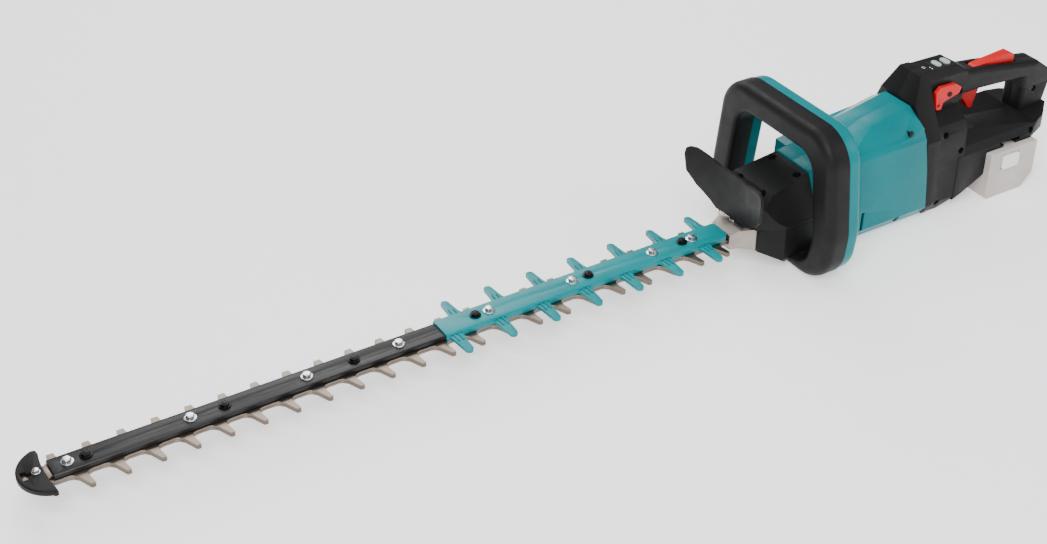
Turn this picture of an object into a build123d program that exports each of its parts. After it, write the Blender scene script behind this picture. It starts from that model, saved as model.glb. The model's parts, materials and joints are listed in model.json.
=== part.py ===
from build123d import *
import math
import os

os.makedirs("parts", exist_ok=True)

# A long-reach battery hedge trimmer. Everything is drawn from the blade datum: x runs from the
# first far tooth towards the rear handle, z = 0 is the plane between the two blades, and y = 0 is
# the middle. write_piece() then moves each piece so that the origin is under the middle of the tool.

# ---- overall reach (mm) ----
front_x = -38.0
rear_x = 1222.0
floor_z = -36.0
to_reference = Location((-(front_x + rear_x) / 2, 0, -floor_z))

# ---- blades ----
tooth_pitch = 34.0
tooth_count = 22
near_shift = 22.0
strip_half = 14.0
far_reach = 25.5
near_reach = 34.2
blade_thick = 2.5
blade_play = 0.15
blade_front = -12.0
crank_throw = 8.75

# ---- guide bar and its fasteners ----
bar_front = -7.0
bar_rear = 792.0
bar_half = 12.7
bar_low = 2.95
bar_thick = 5.0
bar_top = bar_low + bar_thick
sleeve_radius = 4.0
bolt_radius = 2.5
slot_half_width = sleeve_radius + 0.5
slot_half_length = sleeve_radius + crank_throw + 0.75
silver_bolt_x = [9, 129, 250, 351, 455, 556, 658, 710]
black_nut_x = [27, 164, 301, 439, 576, 697]

# ---- blade cover with its prongs ----
cover_front = 397.5
cover_rear = 749.6
cover_wall = 2.0
prong_pitch = 51.4
prong_count = 7
near_prong_x = 408.5
far_prong_x = 425.0
near_prong_reach = 45.0
far_prong_reach = 43.0
prong_tip = 4.4

# ---- drive ----
crank_x = 828.0
gear_module = 1.5
crank_teeth = 54
idler_teeth = 38
pinion_teeth = 12
gear_low = 9.0
gear_face = 8.0
cam_radius = 14.0
cam_face = 2.3
shaft_radius = 5.0
idler_x = crank_x + gear_module * (crank_teeth + idler_teeth) / 2
motor_x = idler_x + gear_module * (idler_teeth + pinion_teeth) / 2
slot_side_play = 1.9
tail_half = 29.0

# ---- gear case ----
case_front = 750.0
case_rear = 955.0
case_low = -15.0
case_top = 18.0
lid_thick = 3.0
boss_top = 24.0
case_wall = 5.0

# ---- front handle loop ----
loop_front = 812.0
loop_split = 838.0
loop_rear = 856.0
loop_floor = -18.0

# ---- motor housing and the joint where the rear handle turns ----
wall = 3.0
seam_tilt = 8.0
seam_centre = (999.0, 35.0)
seam_gap = 0.5
spigot_radius = 29.7
spigot_bore = 24.0
spigot_flange = 35.0
spigot_hole = 30.0
turn_axis = Plane(
    origin=(seam_centre[0], 0, seam_centre[1]),
    x_dir=(0, 1, 0),
    z_dir=(math.cos(math.radians(seam_tilt)), 0, math.sin(math.radians(seam_tilt))),
)

# ---- rear handle ----
grip_half = 16.0
lever_pin = (1101.0, 112.0)
trigger_pin = (1077.0, 93.0)
lock_pin = (1042.0, 106.0)
pin_radius = 1.5
panel_top = 137.0

# ---- battery ----
pack_front_y = -57.0
pack_rear_y = 56.0
pack_low = -36.0
pack_x = (1094.0, 1168.0)

reach = 2000.0


def write_piece(name, piece):
    """Move a finished piece to the part's own origin and write it."""
    placed = piece.part.moved(to_reference)
    placed.label = name
    export_step(placed, f"parts/{name}.step")


def seam_x(z):
    """The motor housing's rear face at a height: it leans forward at the top."""
    return seam_centre[0] - (z - seam_centre[1]) * math.tan(math.radians(seam_tilt))


def mirrored(half):
    """A half outline of (side, along) points, completed across the middle."""
    return half + [(-side, along) for side, along in reversed(half)]


def widths(stations):
    """A plan outline from (x, half width) stations."""
    return [(x, half) for x, half in stations] + [(x, -half) for x, half in reversed(stations)]


def pulled_in(points, distance):
    """An outline with every edge moved inwards by the distance, its corners kept sharp."""
    count = len(points)
    area = sum(points[i - 1][0] * points[i][1] - points[i][0] * points[i - 1][1] for i in range(count))
    side = 1 if area > 0 else -1
    moved = []
    for i in range(count):
        (x0, y0), (x1, y1), (x2, y2) = points[i - 1], points[i], points[(i + 1) % count]
        first, second = math.hypot(x1 - x0, y1 - y0), math.hypot(x2 - x1, y2 - y1)
        ax, ay = side * (y0 - y1) / first, side * (x1 - x0) / first
        bx, by = side * (y1 - y2) / second, side * (x2 - x1) / second
        scale = distance / (1 + ax * bx + ay * by)
        moved.append((x1 + scale * (ax + bx), y1 + scale * (ay + by)))
    return moved


def outline(points, plane, radius=0.0, inset=0.0):
    """A closed straight-sided outline on a plane, with its corners rounded."""
    with BuildSketch(plane) as sketch:
        with BuildLine():
            Polyline(*pulled_in(points, inset), close=True)
        make_face()
        if radius:
            fillet(sketch.vertices(), radius)
    return sketch.sketch


def from_views(side, front, top, radii=(0.0, 0.0, 0.0), inset=0.0):
    """The solid that shows these outlines from the side, the front and above."""
    with BuildPart() as body:
        extrude(outline(side, Plane.XZ, radii[0], inset), amount=reach, both=True)
        if front:
            extrude(outline(front, Plane.YZ, radii[1], inset), amount=reach, both=True, mode=Mode.INTERSECT)
        if top:
            extrude(outline(top, Plane.XY, radii[2], inset), amount=reach, both=True, mode=Mode.INTERSECT)
    return body.part


def block(x_range, y_range, z_range):
    """A plain block between two corners, for cuts and pads."""
    centre = [(low + high) / 2 for low, high in (x_range, y_range, z_range)]
    size = [high - low for low, high in (x_range, y_range, z_range)]
    with BuildPart() as solid:
        with Locations(tuple(centre)):
            Box(*size)
    return solid.part


def rod(x, y, low, high, radius):
    """An upright round bar."""
    with BuildPart() as solid:
        with Locations((x, y, low)):
            Cylinder(radius, high - low, align=(Align.CENTER, Align.CENTER, Align.MIN))
    return solid.part


def cross_rod(x, z, half, radius):
    """A round bar across the tool, half to each side."""
    with BuildPart() as solid:
        with BuildSketch(Plane.XZ):
            with Locations((x, z)):
                Circle(radius)
        extrude(amount=half, both=True)
    return solid.part


# =====================================================================================
# Blades
# =====================================================================================

# Tooth flanks, from the strip's edge out to the tip and back, measured from the tip.
near_tooth = [(-17, -strip_half), (-13, -15.3), (-9, -19.5), (-3.2, 0.6 - near_reach), (-2.2, -near_reach),
              (1.0, -near_reach), (1.6, 0.8 - near_reach), (-0.5, -18.5), (1.5, -15.3), (6, -strip_half)]
far_tooth = [(-8, strip_half), (-4.5, 16.5), (-3.5, far_reach), (3.5, far_reach), (4.5, 16.5), (8, strip_half)]


def bolt_slots():
    """The stretches of the bar that the sleeves need in a sliding blade, merged where they meet."""
    stretches = []
    for x in sorted(silver_bolt_x + black_nut_x):
        low, high = x - slot_half_length, x + slot_half_length
        if stretches and low < stretches[-1][1] + 2:
            stretches[-1][1] = high
        else:
            stretches.append([low, high])
    return stretches


def blade_solid(low):
    """One blade: strip, teeth on both edges, sleeve slots and a tail with its cam slot."""
    with BuildPart() as blade:
        with BuildSketch(Plane.XY.offset(low)):
            strip = [(blade_front + 4, -strip_half), (797, -strip_half), (806, -tail_half), (852, -tail_half),
                     (852, tail_half), (806, tail_half), (797, strip_half), (blade_front + 4, strip_half),
                     (blade_front, strip_half - 5), (blade_front, 5 - strip_half)]
            with BuildLine():
                Polyline(*strip, close=True)
            make_face()
            for number in range(tooth_count):
                x = number * tooth_pitch
                with BuildLine():
                    Polyline(*[(x + dx, y) for dx, y in far_tooth], close=True)
                make_face()
                with BuildLine():
                    Polyline(*[(x + near_shift + dx, y) for dx, y in near_tooth], close=True)
                make_face()
            for start, end in bolt_slots():
                with Locations(((start + end) / 2, 0)):
                    SlotOverall(end - start, 2 * slot_half_width, mode=Mode.SUBTRACT)
            with Locations((crank_x, 0)):
                half_x = cam_radius + slot_side_play
                half_y = cam_radius + crank_throw + 0.5
                RectangleRounded(2 * half_x, 2 * half_y, 6, mode=Mode.SUBTRACT)
        extrude(amount=blade_thick)
    return blade.part


with BuildPart() as upper_blade:
    add(blade_solid(blade_play))

with BuildPart() as lower_blade:
    add(blade_solid(-blade_play - blade_thick))

write_piece("upper_blade", upper_blade)
write_piece("lower_blade", lower_blade)


# =====================================================================================
# Guide bar, its fasteners and the blade cover
# =====================================================================================

nose_bolt_x = 766.0
nose_bolt_seat = 14.5

with BuildPart() as guide_bar:
    add(block((bar_front, bar_rear), (-bar_half, bar_half), (bar_low, bar_top)))
    chamfer(guide_bar.faces().sort_by(Axis.Z)[-1].edges().filter_by(Axis.X), 0.8)
    with Locations(*[(x, 0, bar_top) for x in silver_bolt_x + black_nut_x + [nose_bolt_x]]):
        Hole(bolt_radius + 0.05)

write_piece("guide_bar", guide_bar)

retainer_thick = 1.5
retainer_low = -bar_low - retainer_thick
nut_thick = 4.0


def seat_z(x):
    """What a fastener on the bar sits on: the blade cover, or the bar itself."""
    return bar_top + cover_wall if cover_front < x < cover_rear else bar_top


def hex_sketch(x, across_flats, plane):
    with BuildSketch(plane) as sketch:
        with Locations((x, 0)):
            RegularPolygon(across_flats / 2, 6, major_radius=False)
    return sketch.sketch


with BuildPart() as bar_washers:
    for x in silver_bolt_x:
        with BuildSketch(Plane.XY.offset(seat_z(x))):
            with Locations((x, 0)):
                Circle(6.5)
                Circle(bolt_radius + 0.1, mode=Mode.SUBTRACT)
        extrude(amount=1.0)

write_piece("bar_washers", bar_washers)

with BuildPart() as bar_bolts:
    for x in silver_bolt_x:
        head_low = seat_z(x) + 1.0
        extrude(hex_sketch(x, 8.0, Plane.XY.offset(head_low)), amount=3.4)
        add(rod(x, 0, retainer_low - nut_thick - 1.0, head_low, bolt_radius))
    chamfer(bar_bolts.faces().filter_by(lambda f: f.center().Z > bar_top + 4 and f.normal_at().Z > 0.9).edges(), 0.6)

write_piece("bar_bolts", bar_bolts)

with BuildPart() as bar_studs:
    for x in black_nut_x:
        extrude(hex_sketch(x, 8.0, Plane.XY.offset(retainer_low - 3.5)), amount=3.5)
        add(rod(x, 0, retainer_low, seat_z(x) + 4.2, bolt_radius))

write_piece("bar_studs", bar_studs)

with BuildPart() as bar_nuts:
    for x in black_nut_x:
        seat = Plane.XY.offset(seat_z(x))
        with BuildSketch(seat):
            with Locations((x, 0)):
                Circle(6.0)
        extrude(amount=1.2)
        extrude(hex_sketch(x, 8.0, Plane.XY.offset(seat_z(x) + 1.2)), amount=2.6)
    for x in black_nut_x:
        with Locations((x, 0, seat_z(x) + 3.8)):
            Hole(bolt_radius + 0.05, depth=3.8)

write_piece("bar_nuts", bar_nuts)

with BuildPart() as bar_sleeves:
    for x in silver_bolt_x + black_nut_x:
        with BuildSketch(Plane.XY.offset(-bar_low)):
            with Locations((x, 0)):
                Circle(sleeve_radius)
                Circle(bolt_radius + 0.05, mode=Mode.SUBTRACT)
        extrude(amount=2 * bar_low)

write_piece("bar_sleeves", bar_sleeves)

with BuildPart() as blade_retainers:
    for x in silver_bolt_x + black_nut_x:
        with BuildSketch(Plane.XY.offset(retainer_low)):
            with Locations((x, 0)):
                Circle(6.2)
                Circle(bolt_radius + 0.05, mode=Mode.SUBTRACT)
        extrude(amount=retainer_thick)

write_piece("blade_retainers", blade_retainers)

with BuildPart() as under_nuts:
    for x in silver_bolt_x:
        with BuildSketch(Plane.XY.offset(retainer_low - nut_thick)):
            with Locations((x, 0)):
                RegularPolygon(4.0, 6, major_radius=False)
                Circle(bolt_radius + 0.05, mode=Mode.SUBTRACT)
        extrude(amount=nut_thick)

write_piece("under_nuts", under_nuts)


def prong_points(x, side, reach_out):
    """A prong's plan outline: a flared root on the bar, then a taper to the tip."""
    half = [(11, bar_half), (7.5, bar_half + 3), (5.8, bar_half + 9), (prong_tip, reach_out - prong_tip)]
    return [(x + dx, side * y) for dx, y in half] + [(x - dx, side * y) for dx, y in reversed(half)]


prong_rows = ((near_prong_x, -1, near_prong_reach), (far_prong_x, 1, far_prong_reach))


with BuildPart() as blade_cover:
    outer_half = bar_half + cover_wall
    cover_outline = [(cover_front, -outer_half), (cover_rear - 4, -outer_half), (cover_rear, -outer_half + 4),
                     (cover_rear, outer_half - 4), (cover_rear - 4, outer_half), (cover_front, outer_half)]
    extrude(outline(cover_outline, Plane.XY.offset(bar_low + 0.2)), amount=bar_thick + cover_wall - 0.2)
    chamfer(blade_cover.faces().sort_by(Axis.Z)[-1].edges().filter_by(Axis.X), 1.2)
    with BuildSketch(Plane.XY.offset(bar_low + 0.2)):
        for number in range(prong_count):
            for x, side, reach_out in prong_rows:
                tip_x = x + number * prong_pitch
                with BuildLine():
                    Polyline(*prong_points(tip_x, side, reach_out), close=True)
                make_face()
                with Locations((tip_x, side * (reach_out - prong_tip))):
                    Circle(prong_tip)
    extrude(amount=3.6)
    for number in range(prong_count):
        for x, side, _ in prong_rows:
            tip_x = x + number * prong_pitch
            for rib in (-2.6, 2.6):
                add(block((tip_x + rib - 0.9, tip_x + rib + 0.9), sorted((side * bar_half, side * (bar_half + 13))),
                          (bar_low + 3.0, bar_low + 5.2)))
    add(block((cover_front - 1, cover_rear + 1), (-bar_half, bar_half), (bar_low - 1, bar_top)), mode=Mode.SUBTRACT)
    with Locations(*[(x, 0, bar_top + cover_wall) for x in silver_bolt_x + black_nut_x if x > cover_front]):
        Hole(bolt_radius + 0.1)

write_piece("blade_cover", blade_cover)


# =====================================================================================
# Tip: a steel tongue on the bar's end with a plastic guard bolted over it
# =====================================================================================

tongue_top = bar_low + 2.5
tip_bolt_x = -20.0

with BuildPart() as tip_plate:
    tongue = widths([(-35, 7), (-27, 7), (-27, 4.5), (-14.6, 4.5), (-14.6, 9), (bar_front, 9)])
    extrude(outline(tongue, Plane.XY.offset(bar_low)), amount=tongue_top - bar_low)
    with Locations((tip_bolt_x, 0, tongue_top)):
        Hole(2.1)

write_piece("tip_plate", tip_plate)

with BuildPart() as tip_guard:
    guard_low = bar_low + 0.1
    guard_top = bar_low + 5.6
    with BuildSketch(Plane.XY.offset(guard_low)) as guard_plan:
        with BuildLine():
            ThreePointArc((-15, 32), (front_x, 0), (-15.5, -32.5))
            Polyline((-15.5, -32.5), (-13.5, -35), (-10.5, -34), (-11, -25))
            ThreePointArc((-11, -25), (-13, 0), (-10, 25))
            Polyline((-10, 25), (-10.5, 31), (-15, 32))
        make_face()
    extrude(amount=guard_top - guard_low)
    fillet(tip_guard.edges().filter_by(Axis.Z).filter_by(lambda e: e.center().Y > 28), 2.0)
    with BuildSketch(Plane.XY.offset(bar_low)):
        with BuildLine():
            Polyline(*widths([(-35.2, 7.2), (-26.8, 7.2), (-26.8, 4.7), (-14.8, 4.7), (-14.8, 9.2), (-5, 9.2)]), close=True)
        make_face()
    extrude(amount=tongue_top - bar_low, mode=Mode.SUBTRACT)
    with BuildSketch(Plane.XY.offset(tongue_top)):
        with Locations((-31, 0)):
            Rectangle(5.6, 12)
        with Locations((-26.5, 0)):
            Rectangle(5, 5)
    extrude(amount=10, mode=Mode.SUBTRACT)
    fillet(tip_guard.faces().sort_by(Axis.Z)[-1].outer_wire().edges(), 1.5)
    with Locations((tip_bolt_x, 0, guard_top)):
        Hole(2.1)

write_piece("tip_guard", tip_guard)

with BuildPart() as tip_bolt:
    add(rod(tip_bolt_x, 0, bar_low, guard_top, 2.0))
    add(rod(tip_bolt_x, 0, guard_top, guard_top + 0.8, 4.2))
    extrude(hex_sketch(tip_bolt_x, 6.0, Plane.XY.offset(guard_top + 0.8)), amount=2.6)

write_piece("tip_bolt", tip_bolt)


# =====================================================================================
# Gear case, lid and drive
# =====================================================================================

case_side = [(case_front, -9), (case_front, 9), (760, 13), (776, case_top), (case_rear, case_top),
             (case_rear, case_low), (784, case_low), (770, -9)]
case_plan = widths([(case_front, 16), (760, 19), (776, 33), (800, 47), (870, 47), (905, 38), (935, 22), (case_rear, 20)])

with BuildPart() as gear_case:
    add(from_views(case_side, None, case_plan))
    gear_room = outline(widths([(781, 28), (800, 42), (870, 42), (903, 33.5), (933, 17), (950, 15)]), Plane.XY.offset(8.3))
    extrude(gear_room, amount=20, mode=Mode.SUBTRACT)
    blade_room = outline(widths([(786, 31), (866, 31)]), Plane.XY.offset(-5))
    extrude(blade_room, amount=14, mode=Mode.SUBTRACT)
    add(block((case_front - 1, 790), (-strip_half - 0.6, strip_half + 0.6), (-3.3, bar_low)), mode=Mode.SUBTRACT)
    add(block((case_front - 1, 790), (-bar_half, bar_half), (bar_low, bar_top)), mode=Mode.SUBTRACT)
    add(rod(crank_x, 0, -13, 0, 8.0), mode=Mode.SUBTRACT)
    add(rod(idler_x, 0, -10, 10, 4.0), mode=Mode.SUBTRACT)
    add(rod(nose_bolt_x, 0, bar_top, 30, bolt_radius + 0.05), mode=Mode.SUBTRACT)
    add(rod(nose_bolt_x, 0, nose_bolt_seat, 30, 4.8), mode=Mode.SUBTRACT)

lid_screw_spots = [(790, 37), (790, -37), (835, 44.5), (835, -44.5), (868, 44.5), (868, -44.5), (920, 28), (920, -28)]
screw_head_thick = 1.6
with BuildPart() as lid_screw_holes:
    for x, y in lid_screw_spots:
        add(rod(x, y, case_top - 10, case_top + lid_thick, 1.55))
        add(rod(x, y, case_top + lid_thick - screw_head_thick, case_top + lid_thick + 1, 2.3))

with BuildPart() as gear_case_finished:
    add(gear_case.part)
    add(lid_screw_holes.part, mode=Mode.SUBTRACT)

write_piece("gear_case", gear_case_finished)

with BuildPart() as gear_case_lid:
    lid_plan = widths([(780, 34.5), (800, 47), (870, 47), (905, 38), (935, 22), (case_rear, 20)])
    extrude(outline(lid_plan, Plane.XY.offset(case_top)), amount=lid_thick)
    add(rod(crank_x, 0, case_top, boss_top, 11))
    add(rod(motor_x, 0, case_top, boss_top, 11))
    add(rod(crank_x, 0, case_top - 1, boss_top - 1.5, 8.0), mode=Mode.SUBTRACT)
    add(rod(crank_x, 0, case_top, boss_top + 1, shaft_radius + 0.5), mode=Mode.SUBTRACT)
    add(rod(motor_x, 0, case_top - 1, boss_top + 1, 8.0), mode=Mode.SUBTRACT)
    add(rod(idler_x, 0, case_top - 1, boss_top, 4.0), mode=Mode.SUBTRACT)
    add(lid_screw_holes.part, mode=Mode.SUBTRACT)

write_piece("gear_case_lid", gear_case_lid)

with BuildPart() as case_screws:
    for x, y in lid_screw_spots:
        add(rod(x, y, case_top - 8, case_top + lid_thick - screw_head_thick, 1.5))
        add(rod(x, y, case_top + lid_thick - screw_head_thick, case_top + lid_thick - 0.1, 2.2))

write_piece("case_screws", case_screws)

with BuildPart() as nose_bolt:
    add(rod(nose_bolt_x, 0, bar_low + 0.3, nose_bolt_seat, bolt_radius))
    extrude(hex_sketch(nose_bolt_x, 8.0, Plane.XY.offset(nose_bolt_seat)), amount=3.4)
    chamfer(nose_bolt.faces().sort_by(Axis.Z)[-1].edges(), 0.5)

write_piece("nose_bolt", nose_bolt)

with BuildPart() as crankshaft:
    add(rod(crank_x, 0, -12.5, 22, shaft_radius))
    for side, middle in ((1, blade_play + blade_thick / 2), (-1, -blade_play - blade_thick / 2)):
        with BuildSketch(Plane.XY.offset(middle - cam_face / 2)):
            with Locations((crank_x, side * crank_throw)):
                Circle(cam_radius)
        extrude(amount=cam_face)

write_piece("crankshaft", crankshaft)


def involute_gear(teeth, turn, bore, x, low, high):
    """A spur gear with stub involute teeth, drawn at its place; turn sets where a tooth stands."""
    pitch_radius = gear_module * teeth / 2
    base_radius = pitch_radius * math.cos(math.radians(20))
    outer = pitch_radius + 0.75 * gear_module
    root = pitch_radius - 1.1 * gear_module
    pitch_roll = math.sqrt((pitch_radius / base_radius) ** 2 - 1)
    backlash = 0.12
    half_angle = math.pi / (2 * teeth) - backlash / (2 * pitch_radius) + pitch_roll - math.atan(pitch_roll)
    flank = []
    for step in range(5):
        radius = max(base_radius, root) + (outer - max(base_radius, root)) * step / 4
        roll = math.sqrt(max((radius / base_radius) ** 2 - 1, 0))
        flank.append((radius, half_angle - (roll - math.atan(roll))))
    points = []
    for number in range(teeth):
        middle = math.radians(turn) + 2 * math.pi * number / teeth
        points.append((root, middle - flank[0][1]))
        points.extend((radius, middle - angle) for radius, angle in flank if radius > root + 0.01)
        points.extend((radius, middle + angle) for radius, angle in reversed(flank) if radius > root + 0.01)
        points.append((root, middle + flank[0][1]))
    with BuildPart() as gear:
        with BuildSketch(Plane((x, 0, low))):
            with BuildLine():
                Polyline(*[(r * math.cos(a), r * math.sin(a)) for r, a in points], close=True)
            make_face()
            Circle(bore, mode=Mode.SUBTRACT)
        extrude(amount=high - low)
    return gear.part


with BuildPart() as crank_gear:
    add(involute_gear(crank_teeth, 0, shaft_radius + 0.02, crank_x, gear_low, gear_low + gear_face))
    with BuildSketch(Plane.XY.offset(gear_low)):
        with Locations((crank_x, 0)):
            with PolarLocations(23, 6):
                Circle(7)
    extrude(amount=gear_face, mode=Mode.SUBTRACT)

write_piece("crank_gear", crank_gear)

with BuildPart() as idler_gear:
    add(involute_gear(idler_teeth, 180 + 180 / idler_teeth, 6.0, idler_x, gear_low + 0.5, gear_low + gear_face - 0.5))

write_piece("idler_gear", idler_gear)

with BuildPart() as idler_bush:
    add(rod(idler_x, 0, gear_low - 0.3, gear_low + gear_face + 0.3, 5.98))
    add(rod(idler_x, 0, gear_low - 1, gear_low + gear_face + 1, 4.05), mode=Mode.SUBTRACT)

write_piece("idler_bush", idler_bush)

with BuildPart() as idler_axle:
    add(rod(idler_x, 0, -9.8, case_top + lid_thick - 0.2, 3.98))

write_piece("idler_axle", idler_axle)


def ring(x, low, high, inner, outer):
    with BuildPart() as solid:
        with BuildSketch(Plane.XY.offset(low)):
            with Locations((x, 0)):
                Circle(outer)
                Circle(inner, mode=Mode.SUBTRACT)
        extrude(amount=high - low)
    return solid.part


motor_shaft_radius = 3.0
with BuildPart() as motor_pinion:
    add(involute_gear(pinion_teeth, 180, motor_shaft_radius + 0.02, motor_x, gear_low, gear_low + gear_face))

write_piece("motor_pinion", motor_pinion)

stator_low = 30.0
stator_high = 62.0
rotor_radius = 16.0
motor_top = 79.0
with BuildPart() as rotor:
    add(ring(motor_x, stator_low + 1, stator_high - 1, motor_shaft_radius + 0.02, rotor_radius))

write_piece("rotor", rotor)

with BuildPart() as rotor_shaft:
    add(rod(motor_x, 0, gear_low, motor_top, motor_shaft_radius))

write_piece("rotor_shaft", rotor_shaft)

with BuildPart() as stator:
    add(ring(motor_x, stator_low, stator_high, 23.0, 27.5))
    tooth_total = 12
    for number in range(tooth_total):
        with BuildSketch(Plane.XY.offset(stator_low + 4)):
            with Locations((motor_x, 0)):
                with PolarLocations(20.0, 1, start_angle=360 * number / tooth_total):
                    Rectangle(6.6, 3.2)
        extrude(amount=stator_high - stator_low - 8)

write_piece("stator", stator)

with BuildPart() as stator_coils:
    for number in range(tooth_total):
        with BuildSketch(Plane.XY.offset(stator_low + 1)):
            with Locations((motor_x, 0)):
                with PolarLocations(20.3, 1, start_angle=360 * number / tooth_total):
                    Rectangle(4.6, 5.6)
        extrude(amount=stator_high - stator_low - 2)
    add(stator.part, mode=Mode.SUBTRACT)

write_piece("stator_coils", stator_coils)

with BuildPart() as cooling_fan:
    add(ring(motor_x, 65, 67, motor_shaft_radius + 0.02, 24))
    add(ring(motor_x, 65, 72, motor_shaft_radius + 0.02, 6))
    blade_total = 9
    for number in range(blade_total):
        with BuildSketch(Plane.XY.offset(67)):
            with Locations((motor_x, 0)):
                with PolarLocations(15.5, 1, start_angle=360 * number / blade_total):
                    Rectangle(14, 1.2, rotation=28)
        extrude(amount=5)

write_piece("cooling_fan", cooling_fan)

with BuildPart() as shaft_bearings:
    add(ring(crank_x, -12.9, -5.4, shaft_radius + 0.05, 7.98))
    add(ring(crank_x, case_top - 0.5, boss_top - 1.6, shaft_radius + 0.05, 7.98))
    add(ring(motor_x, case_top, boss_top - 0.2, motor_shaft_radius + 0.05, 7.98))
    add(ring(motor_x, 74.5, 79.5, motor_shaft_radius + 0.05, 6.5))

write_piece("shaft_bearings", shaft_bearings)

with BuildPart() as motor_frame:
    add(ring(motor_x, boss_top, stator_low - 0.2, 12, 29))
    add(ring(motor_x, stator_low - 0.2, 64, 27.6, 29.0))
    add(ring(motor_x, 74.5, 80, 6.52, 9))
    for turn in (0, 120, 240):
        with BuildSketch(Plane.XY.offset(74.5)):
            with Locations((motor_x, 0)):
                with PolarLocations(18.6, 1, start_angle=turn):
                    Rectangle(20.8, 5)
        extrude(amount=3)
        with BuildSketch(Plane.XY.offset(62)):
            with Locations((motor_x, 0)):
                with PolarLocations(28.3, 1, start_angle=turn):
                    Rectangle(1.4, 5)
        extrude(amount=15.5)

write_piece("motor_frame", motor_frame)

with BuildPart() as grease_felt:
    add(block((787, 791), (-tail_half + 2, tail_half - 2), (-4.9, -2.95)))

write_piece("grease_felt", grease_felt)


# =====================================================================================
# Covers round the gear case, and the front handle
# =====================================================================================

case_envelope = from_views(case_side, None, case_plan, inset=-0.3)
loop_cut = block((loop_front - 0.1, loop_rear + 0.1), (-60, 60), (-80, loop_floor))
covers_rear = 858.0

with BuildPart() as under_cover:
    cover_side = [(774, -9), (774, case_top - 0.2), (covers_rear, case_top - 0.2), (covers_rear, -34), (815, -34), (808, -30), (797, -21)]
    cover_front_view = mirrored([(50, case_top + 5), (50, -20), (37, -37.9)])
    cover_plan = widths([(773, 35.5), (800, 50), (covers_rear + 5, 50)])
    add(from_views(cover_side, cover_front_view, cover_plan))
    add(case_envelope, mode=Mode.SUBTRACT)
    add(block((806, covers_rear - wall), (-40, 40), (-31, case_low)), mode=Mode.SUBTRACT)
    add(block((loop_front - 3.2, loop_rear + 0.1), (-60, 60), (-40, loop_floor + 2.4)), mode=Mode.SUBTRACT)

with BuildPart() as under_cover_finished:
    add(under_cover.part)
    add(block((loop_front - 3.2, covers_rear), (-49.9, 49.9), (loop_floor, loop_floor + 2.4)))
    add(loop_cut, mode=Mode.SUBTRACT)
    add(case_envelope, mode=Mode.SUBTRACT)

write_piece("under_cover", under_cover_finished)

gear_cover_side = [(770, case_top), (770, 38), (790, 56), (843, 66), (843, 40), (covers_rear, 40), (covers_rear, case_top)]
gear_cover_front = mirrored([(26, 70.3), (46, 27), (50, 22), (50, case_top - 9)])
gear_cover_plan = widths([(768, 32), (786, 43), (800, 50), (covers_rear + 30, 50)])
inner_side = [(773, 0), (773, 37), (791, 53), (840, 62.5), (840, 37), (covers_rear + 9, 37), (covers_rear + 9, 0)]

with BuildPart() as gear_cover:
    add(from_views(gear_cover_side, gear_cover_front, gear_cover_plan, radii=(1.5, 1.5, 3)))
    add(from_views(inner_side, mirrored([(22.5, 70.3), (43.4, 26), (47.2, 21.5), (47.2, -5)]),
                   widths([(771, 29.5), (787, 41), (799, 47.4), (covers_rear + 40, 47.4)])),
        mode=Mode.SUBTRACT)

cover_screw_spots = [(832, 22), (832, -22), (786, 20), (786, -20)]
with BuildPart() as gear_cover_finished:
    add(gear_cover.part)
    for x, y in cover_screw_spots:
        add(rod(x, y, case_top + lid_thick + 1, 80, 6.4))
    add(from_views(gear_cover_side, gear_cover_front, gear_cover_plan, radii=(1.5, 1.5, 3)), mode=Mode.INTERSECT)
    for x, y in cover_screw_spots:
        add(rod(x, y, 46, 90, 4.6), mode=Mode.SUBTRACT)
        add(rod(x, y, 10, 60, 1.6), mode=Mode.SUBTRACT)

write_piece("gear_cover", gear_cover_finished)

loop_outer = mirrored([(92, 143), (107, 28), (100, floor_z)])
loop_inner = mirrored([(62, 113), (76, 20), (68, loop_floor)])


def loop_ring(front, rear, trim):
    """A stretch of the front handle's loop, its outline pulled in by trim all round."""
    with BuildPart() as ring_part:
        with BuildSketch(Plane.YZ.offset(front)) as section:
            with BuildLine():
                Polyline(*pulled_in(loop_outer, trim), close=True)
            make_face()
            fillet(section.vertices().group_by(Axis.Y)[-1], 42 - trim)
            fillet(section.vertices().group_by(Axis.Y)[0], 44 - trim)
            fillet(section.vertices().filter_by(lambda v: abs(v.Y - 28) < 3), 60)
        extrude(amount=rear - front)
        with BuildSketch(Plane.YZ.offset(front)) as window:
            with BuildLine():
                Polyline(*pulled_in(loop_inner, -trim), close=True)
            make_face()
            fillet(window.vertices().group_by(Axis.Y)[-1], 24)
            fillet(window.vertices().group_by(Axis.Y)[0], 18)
            fillet(window.vertices().filter_by(lambda v: abs(v.Y - 20) < 3), 30)
        extrude(amount=rear - front, mode=Mode.SUBTRACT)
    return ring_part.part


with BuildPart() as front_handle_grip:
    add(loop_ring(loop_front, loop_split, 0))
    fillet(front_handle_grip.faces().sort_by(Axis.X)[0].outer_wire().edges(), 11)
    fillet(front_handle_grip.faces().sort_by(Axis.X)[0].inner_wires()[0].edges(), 6)

with BuildPart() as front_handle_back:
    add(loop_ring(loop_split, loop_rear, 1.2))
    fillet(front_handle_back.faces().sort_by(Axis.X)[-1].outer_wire().edges(), 7)
    fillet(front_handle_back.faces().sort_by(Axis.X)[-1].inner_wires()[0].edges(), 5)

handle_screw_spots = [(822, 28), (822, -28), (848, 28), (848, -28)]


def with_screw_holes(solid):
    with BuildPart() as drilled:
        add(solid)
        for x, y in handle_screw_spots:
            add(rod(x, y, floor_z - 1, loop_floor + 5, 1.8), mode=Mode.SUBTRACT)
            add(rod(x, y, floor_z - 1, floor_z + 5, 4.2), mode=Mode.SUBTRACT)
    return drilled


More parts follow.
